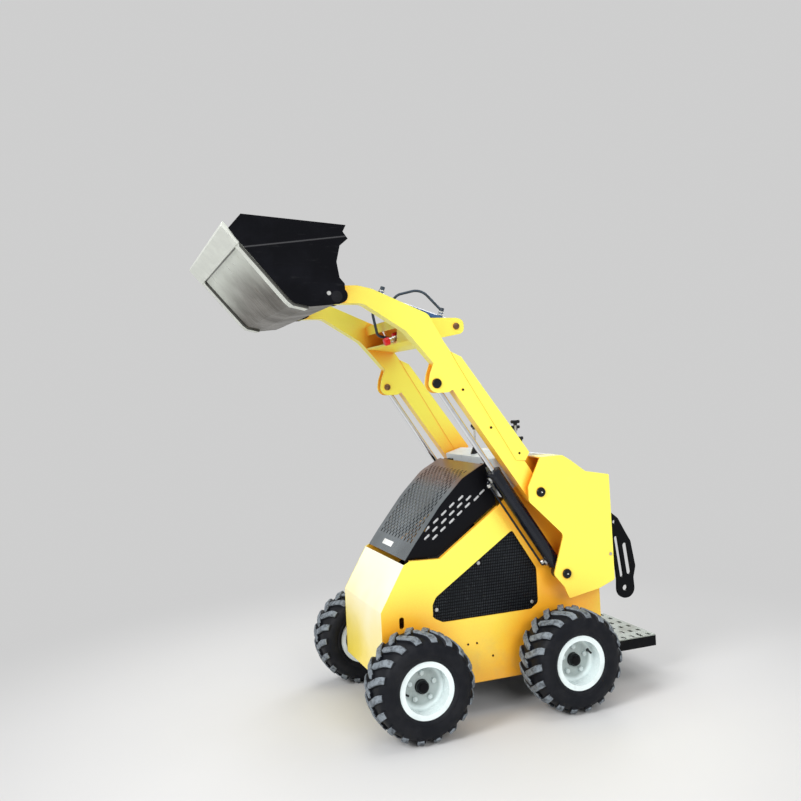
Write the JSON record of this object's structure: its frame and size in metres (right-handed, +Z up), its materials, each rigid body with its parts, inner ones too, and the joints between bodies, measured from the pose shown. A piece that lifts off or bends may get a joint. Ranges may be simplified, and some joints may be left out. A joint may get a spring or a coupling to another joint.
{
  "type": "stand-on mini skid steer loader",
  "caption": "Stand-on mini skid steer loader on air tyres, lift arms raised and bucket rolled back, with working arms, bucket, cylinders, hood and wheels.",
  "frame": {"origin": "on the ground under the middle of the machine's footprint", "axes": "+X to the machine's left, -Y to its front (bucket end), +Z up"},
  "size_m": [1.16, 2.1118, 2.185],
  "materials": {
    "yellow_paint": "gloss",
    "black_paint": "satin",
    "grey_paint": "satin",
    "rim_paint": "gloss",
    "bare_steel": "brushed",
    "chrome": "polished",
    "cylinder_paint": "gloss",
    "tyre_rubber": "matte",
    "hose_rubber": "satin",
    "red_cap": "matte",
    "knob_plastic": "gloss",
    "engine_metal": "rough"
  },
  "bodies": {
    "root": {"chassis_frame": "black_paint", "engine_block": "engine_metal", "nose_panel": "yellow_paint", "side_panels": "yellow_paint", "side_grilles": "black_paint", "hood_hinges": "black_paint", "console": "grey_paint", "control_levers": "knob_plastic", "arm_lock_link": "black_paint", "platform_frame": "black_paint", "platform_tread": "grey_paint", "tower_plates": "yellow_paint", "tower_backs": "yellow_paint", "tower_pins": "black_paint", "wheel_motors": "black_paint"},
    "hood": {"hood_screen": "black_paint", "hood_sides": "black_paint"},
    "lift_arms": {"arms": "yellow_paint", "hose_guards": "yellow_paint", "cross_member": "yellow_paint", "quick_couplers": "red_cap", "arm_pins": "black_paint"},
    "lift_cylinder_left": {"lift_barrel_left": "cylinder_paint"},
    "lift_cylinder_right": {"lift_barrel_right": "cylinder_paint"},
    "lift_ram_left": {"lift_rod_left": "chrome"},
    "lift_ram_right": {"lift_rod_right": "chrome"},
    "tilt_cylinder": {"tilt_barrel": "cylinder_paint", "tilt_hoses": "hose_rubber"},
    "tilt_ram": {"tilt_rod": "chrome"},
    "bucket": {"bucket_shell": "bare_steel", "bucket_sides": "black_paint", "cutting_edge": "bare_steel", "wear_strips": "bare_steel", "bucket_back_plate": "black_paint", "bucket_lugs": "black_paint", "bucket_pins": "black_paint"},
    "wheel_front_left": {"tyre_front_left": "tyre_rubber", "rim_front_left": "rim_paint", "hub_front_left": "black_paint"},
    "wheel_front_right": {"tyre_front_right": "tyre_rubber", "rim_front_right": "rim_paint", "hub_front_right": "black_paint"},
    "wheel_rear_left": {"tyre_rear_left": "tyre_rubber", "rim_rear_left": "rim_paint", "hub_rear_left": "black_paint"},
    "wheel_rear_right": {"tyre_rear_right": "tyre_rubber", "rim_rear_right": "rim_paint", "hub_rear_right": "black_paint"}
  },
  "joints": [
    {"name": "wheel_front_left_spin", "type": "hinge", "parent": "root", "child": "wheel_front_left", "pos_m": [0.4395, -0.2905, 0.2285], "axis": [1, 0, 0], "continuous": true},
    {"name": "wheel_front_right_spin", "type": "hinge", "parent": "root", "child": "wheel_front_right", "pos_m": [-0.4395, -0.2905, 0.2285], "axis": [1, 0, 0], "continuous": true},
    {"name": "wheel_rear_left_spin", "type": "hinge", "parent": "root", "child": "wheel_rear_left", "pos_m": [0.4395, 0.4435, 0.2285], "axis": [1, 0, 0], "continuous": true},
    {"name": "wheel_rear_right_spin", "type": "hinge", "parent": "root", "child": "wheel_rear_right", "pos_m": [-0.4395, 0.4435, 0.2285], "axis": [1, 0, 0], "continuous": true},
    {"name": "hood_hinge", "type": "hinge", "parent": "root", "child": "hood", "pos_m": [0, 0.1605, 1.108], "axis": [-1, 0, 0], "range_deg": [0, 40]},
    {"name": "arm_lift", "type": "hinge", "parent": "root", "child": "lift_arms", "pos_m": [0, 0.3555, 0.983], "axis": [-1, 0, 0], "range_deg": [-84, 3]},
    {"name": "bucket_tilt", "type": "hinge", "parent": "lift_arms", "child": "bucket", "pos_m": [0, -0.5465, 1.891], "axis": [1, 0, 0], "range_deg": [-50, 88]},
    {"name": "lift_cylinder_left_swing", "type": "hinge", "parent": "root", "child": "lift_cylinder_left", "pos_m": [0.34, 0.4685, 0.599], "axis": [-1, 0, 0], "range_deg": [-60.66, 3.13]},
    {"name": "lift_ram_left_slide", "type": "slide", "parent": "lift_cylinder_left", "child": "lift_ram_left", "axis": [0, -0.5446, 0.8387], "range_m": [-0.399, 0.0162]},
    {"name": "lift_cylinder_right_swing", "type": "hinge", "parent": "root", "child": "lift_cylinder_right", "pos_m": [-0.34, 0.4685, 0.599], "axis": [-1, 0, 0], "range_deg": [-60.66, 3.13]},
    {"name": "lift_ram_right_slide", "type": "slide", "parent": "lift_cylinder_right", "child": "lift_ram_right", "axis": [0, -0.5446, 0.8387], "range_m": [-0.399, 0.0162]},
    {"name": "tilt_cylinder_swing", "type": "hinge", "parent": "lift_arms", "child": "tilt_cylinder", "pos_m": [0, 0.1305, 1.779], "axis": [1, 0, 0], "range_deg": [-2.59, 3.8]},
    {"name": "tilt_ram_slide", "type": "slide", "parent": "tilt_cylinder", "child": "tilt_ram", "axis": [0, -0.9439, 0.3301], "range_m": [-0.0826, 0.1438]}
  ],
  "couplings": [
    {"joint": "lift_cylinder_left_swing", "follows": "arm_lift", "ratio": 0.71024},
    {"joint": "lift_ram_left_slide", "follows": "arm_lift", "m_per_rad": 0.27081},
    {"joint": "lift_cylinder_right_swing", "follows": "arm_lift", "ratio": 0.71024},
    {"joint": "lift_ram_right_slide", "follows": "arm_lift", "m_per_rad": 0.27081},
    {"joint": "tilt_cylinder_swing", "follows": "bucket_tilt", "ratio": 0.03183},
    {"joint": "tilt_ram_slide", "follows": "bucket_tilt", "m_per_rad": 0.09235}
  ]
}
